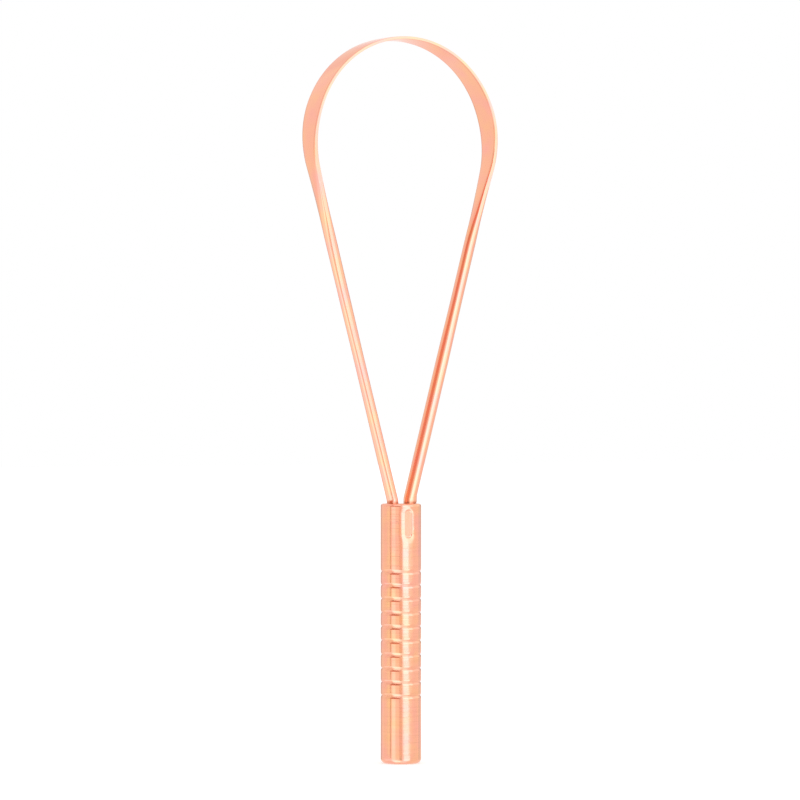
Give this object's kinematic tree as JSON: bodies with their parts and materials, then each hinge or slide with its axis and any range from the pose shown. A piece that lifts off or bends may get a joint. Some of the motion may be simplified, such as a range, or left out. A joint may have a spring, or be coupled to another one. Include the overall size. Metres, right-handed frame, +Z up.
{
  "type": "tongue scraper",
  "caption": "Hand-held tongue scraper: a copper wire loop, rolled flat round its crown into a scraping ribbon, with its legs staked into a slim, grooved rod handle.",
  "frame": {"origin": "middle of the handle's flat tail end", "axes": "+Z up the handle's axis to the crown of the loop; the loop lies in the XZ plane and the width of its ribbon runs along Y; the stake mark faces -Y, 0.6 mm to the -X side of the middle"},
  "size_m": [0.0494, 0.0094, 0.17],
  "materials": {
    "turned_copper": "bright turned copper with fine lathe lines",
    "rolled_copper": "bright drawn and rolled copper"
  },
  "bodies": {
    "root": {"handle": "turned_copper", "scraper_loop": "rolled_copper"}
  },
  "joints": []
}
